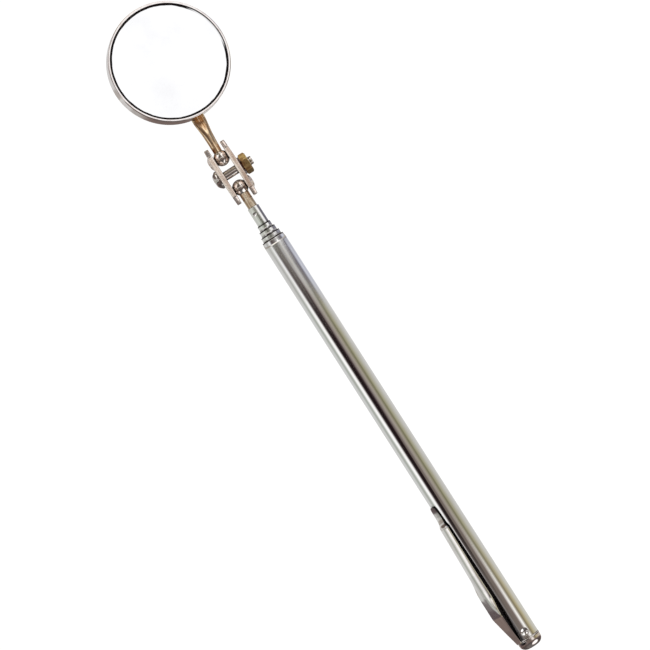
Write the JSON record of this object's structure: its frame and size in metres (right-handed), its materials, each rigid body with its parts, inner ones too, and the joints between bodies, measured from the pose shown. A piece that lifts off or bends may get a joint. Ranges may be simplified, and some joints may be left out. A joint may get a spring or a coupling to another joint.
{
  "type": "telescoping inspection mirror",
  "caption": "Round mirror in a metal cup on a double ball joint, with a clamp screw and nut, on a telescoping tube handle with an end cap and a pocket clip.",
  "frame": {"origin": "centre of the end cap's flat butt face", "axes": "+X along the handle towards the mirror, +Y towards the clamp screw's head, +Z towards the side that the mirror faces"},
  "size_m": [0.1922, 0.0316, 0.0117],
  "materials": {
    "chrome": "bright chrome, slightly worn",
    "clip_steel": "bright nickel on spring steel",
    "plate_nickel": "satin nickel, warm where it is worn",
    "ball_steel": "polished steel",
    "stem_brass": "polished, thin plating",
    "nut_brass": "yellow passivated",
    "bush_brass": "plain brass",
    "cup_nickel": "nickel plated",
    "mirror": "silvered glass",
    "board": "grey board"
  },
  "bodies": {
    "handle": {"handle_tube": "chrome", "end_cap": "chrome", "clip_ring": "clip_steel"},
    "clip": {"pocket_clip": "clip_steel"},
    "bush_4": {"section_4_bush": "bush_brass"},
    "section_4": {"section_4_tube": "chrome"},
    "bush_3": {"section_3_bush": "bush_brass"},
    "section_3": {"section_3_tube": "chrome"},
    "bush_2": {"section_2_bush": "bush_brass"},
    "section_2": {"section_2_tube": "chrome"},
    "bush_1": {"section_1_bush": "bush_brass"},
    "section_1": {"section_1_tube": "chrome", "rod_stem": "stem_brass"},
    "rod_ball": {"rod_ball": "ball_steel"},
    "joint_plate": {"plate_screw_side": "plate_nickel"},
    "nut_plate": {"plate_nut_side": "plate_nickel", "nut_washer": "plate_nickel"},
    "clamp_screw": {"clamp_screw": "ball_steel"},
    "clamp_nut": {"clamp_nut": "nut_brass"},
    "mirror_ball": {"mirror_ball": "ball_steel"},
    "mirror_head": {"mirror_stem": "stem_brass", "mirror_cup": "cup_nickel", "mirror_backing": "board", "mirror_glass": "mirror"}
  },
  "joints": [
    {"name": "clip_flex", "type": "hinge", "parent": "handle", "child": "clip", "pos_m": [0.00266, 0.00283, 0.00198], "axis": [0, -0.5736, 0.8192], "range_deg": [0, 4]},
    {"name": "section_4_slide", "type": "slide", "parent": "handle", "child": "bush_4", "axis": [1, 0, 0], "range_m": [0, 0.1082]},
    {"name": "section_4_spin", "type": "hinge", "parent": "bush_4", "child": "section_4", "pos_m": [0.05, 0, 0], "axis": [1, 0, 0], "continuous": true},
    {"name": "section_3_slide", "type": "slide", "parent": "section_4", "child": "bush_3", "axis": [1, 0, 0], "range_m": [0, 0.1027]},
    {"name": "section_3_spin", "type": "hinge", "parent": "bush_3", "child": "section_3", "pos_m": [0.05, 0, 0], "axis": [1, 0, 0], "continuous": true},
    {"name": "section_2_slide", "type": "slide", "parent": "section_3", "child": "bush_2", "axis": [1, 0, 0], "range_m": [0, 0.098]},
    {"name": "section_2_spin", "type": "hinge", "parent": "bush_2", "child": "section_2", "pos_m": [0.05, 0, 0], "axis": [1, 0, 0], "continuous": true},
    {"name": "section_1_slide", "type": "slide", "parent": "section_2", "child": "bush_1", "axis": [1, 0, 0], "range_m": [0, 0.0933]},
    {"name": "section_1_spin", "type": "hinge", "parent": "bush_1", "child": "section_1", "pos_m": [0.05, 0, 0], "axis": [1, 0, 0], "continuous": true},
    {"name": "lower_ball_rock", "type": "hinge", "parent": "section_1", "child": "rod_ball", "pos_m": [0.1396, 0, 0], "axis": [0, 0, 1], "range_deg": [-5, 5]},
    {"name": "lower_ball_swing", "type": "hinge", "parent": "rod_ball", "child": "joint_plate", "pos_m": [0.1396, 0, 0], "axis": [0, 1, 0], "range_deg": [-60, 60]},
    {"name": "clamp_open", "type": "slide", "parent": "joint_plate", "child": "nut_plate", "axis": [0, -1, 0], "range_m": [0, 0.00045]},
    {"name": "nut_turn", "type": "hinge", "parent": "nut_plate", "child": "clamp_nut", "pos_m": [0.14405, 0, 0], "axis": [0, -1, 0], "range_deg": [0, 360]},
    {"name": "screw_turn", "type": "hinge", "parent": "joint_plate", "child": "clamp_screw", "pos_m": [0.14405, 0, 0], "axis": [0, 1, 0], "continuous": true},
    {"name": "upper_ball_swing", "type": "hinge", "parent": "joint_plate", "child": "mirror_ball", "pos_m": [0.1485, 0, 0], "axis": [0, 1, 0], "range_deg": [-90, 90]},
    {"name": "mirror_spin", "type": "hinge", "parent": "mirror_ball", "child": "mirror_head", "pos_m": [0.1485, 0, 0], "axis": [0.998, -0.0349, -0.0523], "continuous": true}
  ],
  "couplings": [
    {"joint": "nut_turn", "follows": "clamp_open", "rad_per_m": 13963}
  ]
}
